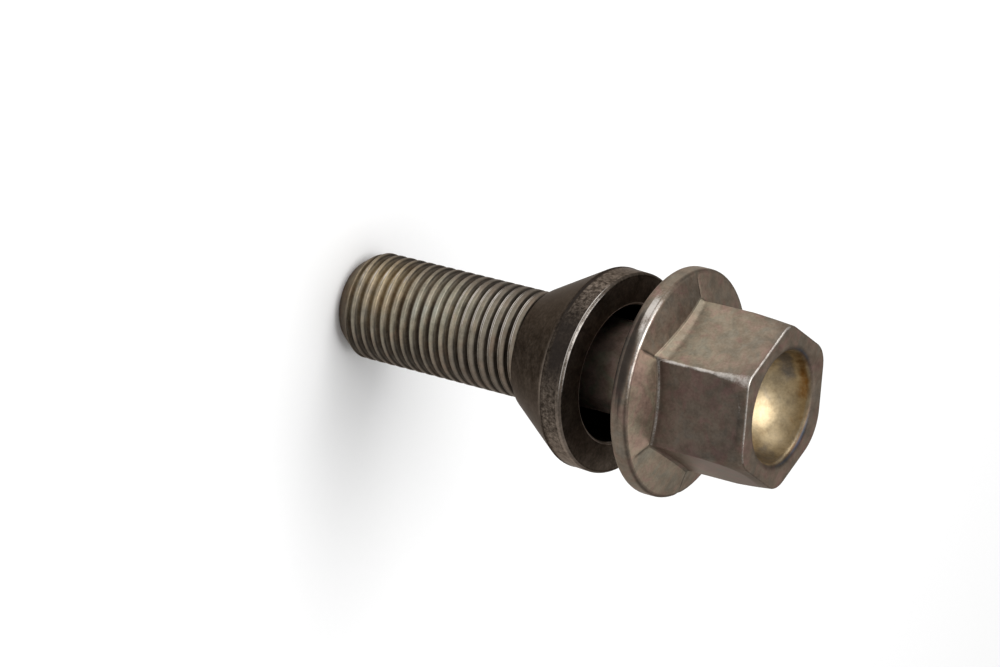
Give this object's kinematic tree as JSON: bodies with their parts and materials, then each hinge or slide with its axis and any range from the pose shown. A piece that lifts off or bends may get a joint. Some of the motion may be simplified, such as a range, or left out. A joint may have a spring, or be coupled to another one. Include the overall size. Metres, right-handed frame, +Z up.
{
  "type": "wheel bolt",
  "caption": "Hex wheel bolt with a cupped head, a coned flange, a reduced shank and a metric thread, and a loose conical seat collar held between flange and thread.",
  "frame": {"origin": "centre of the flat threaded end, on which the bolt stands", "axes": "+Z up the bolt's axis from the threaded end to the head; X across two flats of the hex, Y through two of its corners"},
  "size_m": [0.0288, 0.0288, 0.0624],
  "materials": {
    "zinc_bolt": "zinc plate with an iridescent grey-bronze passivate, satin, worn bright on edges",
    "dark_collar": "darker brown-black passivate, satin, worn bright on the back edge"
  },
  "bodies": {
    "bolt": {"bolt": "zinc_bolt"},
    "collar": {"collar": "dark_collar"}
  },
  "joints": [
    {"name": "collar_slide", "type": "slide", "parent": "bolt", "child": "collar", "axis": [0, 0, 1], "range_m": [0, 0.0048]}
  ]
}
